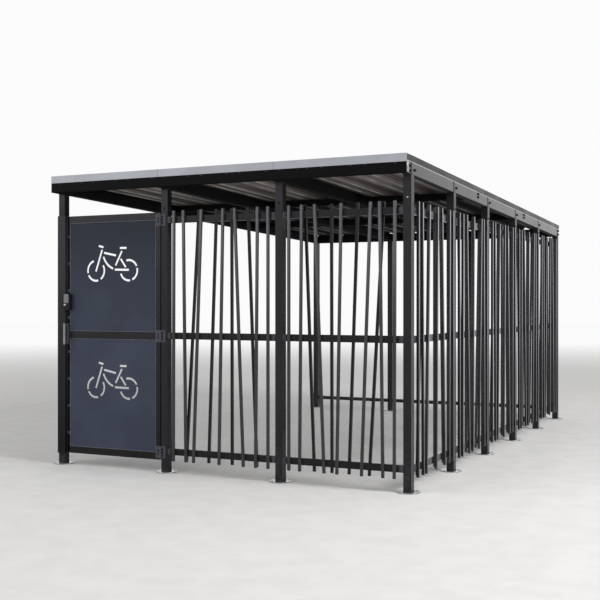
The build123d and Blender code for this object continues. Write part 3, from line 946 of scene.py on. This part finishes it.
knob_steel, knob_tree, knob_shader = new_finish("knob_steel")
knob_turning = spot_noise(knob_tree, 420.0, 3.0, (1.0, 0.08, 1.0))
knob_marks = ramp(knob_tree, knob_turning, 0.3, 0.7)
wire(knob_shader, "Base Color", mixed(knob_tree, knob_marks, shade(178, 178, 180), shade(208, 208, 210)))
wire(knob_shader, "Roughness", ramp(knob_tree, knob_turning, 0.2, 0.8, 0.22, 0.4))
knob_shader.inputs["Metallic"].default_value = 1.0
cylinder_z = cover_middle - lock_cover_height / 2 - cylinder_drop
cylinder_place = facing(Vector((lock_low.x + cylinder_reach, lock_low.y, cylinder_z)), front)
key_cylinder = bmesh.new()
turned(key_cylinder, cylinder_place, cylinder_profile, sides=28)
fit("key_cylinder", key_cylinder, knob_steel, "door")

# Pull handle: an upright round bar of brushed steel on two stems.
# The stems stand on a flat plate that is painted dark and fixed to the lock stile.
pull_plate = door_low.y - 0.0045
plate_dark = shade(30, 29, 32)
handle_steel, handle_tree, handle_shader = new_finish("handle_steel")
handle_brush = spot_noise(handle_tree, 300.0, 4.0, (1.0, 1.0, 0.04))
handle_marks = ramp(handle_tree, handle_brush, 0.3, 0.7)
handle_grime = ramp(handle_tree, spot_noise(handle_tree, 30.0, 4.0), 0.5, 0.8)
brushed = mixed(handle_tree, handle_marks, shade(112, 113, 116), shade(142, 143, 146))
handle_bar = mixed(handle_tree, handle_grime, brushed, shade(70, 68, 66))
is_plate = math_of(handle_tree, "GREATER_THAN", place_along(handle_tree, "Y"), pull_plate)
wire(handle_shader, "Base Color", mixed(handle_tree, is_plate, handle_bar, plate_dark))
wire(handle_shader, "Metallic", math_of(handle_tree, "SUBTRACT", 0.7, is_plate))
wire(handle_shader, "Roughness", ramp(handle_tree, handle_brush, 0.2, 0.8, 0.28, 0.46))
raised(handle_shader, handle_brush, 0.1, 0.0002)
dress(["pull_handle"], handle_steel, folded_edge)

# Cover strip: a flat steel bar welded down the edge of the lock stile, painted with the door.
# It laps the lock post and closes the gap beside it.
strip_edge = 0.0014
strip_tones = (shade(19, 18, 21), shade(50, 49, 54))
# Painted shade darkens the strip towards the foot, as on the door frame.
strip_paint = painted_shade_steel(
    "strip_paint", strip_tones, door_painted_shade_span, rubbed_paint, roughness=0.36, reach=0.10, gloss=0.12
)
dress(["lock_cover_strip"], strip_paint, strip_edge)

# Studio: a pale floor that fades into a white surround, with two large soft lights.
# The stronger one stands on the right and above, and the other fills from the left.
floor_radius = 60.0
fade_from = 6.0
fade_to = 26.0
floor_form = bmesh.new()
bmesh.ops.create_circle(floor_form, cap_ends=True, segments=96, radius=floor_radius)
floor_mesh = bpy.data.meshes.new("studio_floor")
floor_form.to_mesh(floor_mesh)
floor_form.free()
floor = bpy.data.objects.new("studio_floor", floor_mesh)
bpy.context.scene.collection.objects.link(floor)
floor_finish, floor_tree, floor_shader = new_finish("studio_floor")
floor_grain = ramp(floor_tree, spot_noise(floor_tree, 5.0, 5.0), 0.3, 0.7)
wire(floor_shader, "Base Color", mixed(floor_tree, floor_grain, shade(206, 205, 204), shade(212, 211, 210)))
floor_shader.inputs["Roughness"].default_value = 0.85
floor_shader.inputs["Specular IOR Level"].default_value = 0.1
floor_place = node(floor_tree, "TexCoord").outputs["Object"]
floor_distance = node(floor_tree, "VectorMath", {0: floor_place}, operation="LENGTH").outputs["Value"]
floor_fade = ramp(floor_tree, floor_distance, fade_from, fade_to)
floor_white = node(floor_tree, "Emission", {"Color": shade(250, 250, 250), "Strength": 1.0}).outputs[0]
floor_look = node(floor_tree, "MixShader", {0: floor_fade, 1: floor_shader.outputs[0], 2: floor_white})
wire(floor_tree.nodes["Material Output"], "Surface", floor_look.outputs[0])
floor_mesh.materials.append(floor_finish)

surround = bpy.data.worlds.new("studio_surround")
bpy.context.scene.world = surround
surround.use_nodes = True
sky = surround.node_tree
seen = node(sky, "LightPath")
shown = math_of(sky, "ADD", seen.outputs["Is Camera Ray"], seen.outputs["Is Glossy Ray"])
shown_through = math_of(sky, "ADD", shown, seen.outputs["Is Transmission Ray"])
wire(sky.nodes["Background"], "Strength", ramp(sky, shown_through, 0.0, 1.0, 0.62, 0.97))
sky.nodes["Background"].inputs["Color"].default_value = (1.0, 1.0, 1.0, 1.0)


def soft_box(name, place, aim, size, power):
    """One large soft light, turned to a point."""
    lamp = bpy.data.lights.new(name, "AREA")
    lamp.size = size
    lamp.energy = power
    box = bpy.data.objects.new(name, lamp)
    box.location = place
    box.rotation_euler = (Vector(aim) - Vector(place)).to_track_quat("-Z", "Y").to_euler()
    bpy.context.scene.collection.objects.link(box)


light_aim = (0.0, 0.0, 1.0)
soft_box("key_light", (11.0, -3.0, 8.0), light_aim, size=5.0, power=1500.0)
soft_box("fill_light", (-6.0, -9.0, 6.0), light_aim, size=6.0, power=250.0)

# Camera: level, at chest height, off the right front corner.
# Its place, turn and lens were fitted to the photograph's posts and roof edges.
camera_data = bpy.data.cameras.new("camera")
camera = bpy.data.objects.new("camera", camera_data)
camera.location = (3.870, -9.185, 1.327)
camera.rotation_euler = (math.radians(90.0), 0.0, math.radians(25.581))
camera_data.sensor_width = 36.0
camera_data.lens = 60.806
camera_data.shift_y = 0.0041
bpy.context.scene.collection.objects.link(camera)
bpy.context.scene.camera = camera
bpy.context.scene.view_settings.view_transform = "Standard"
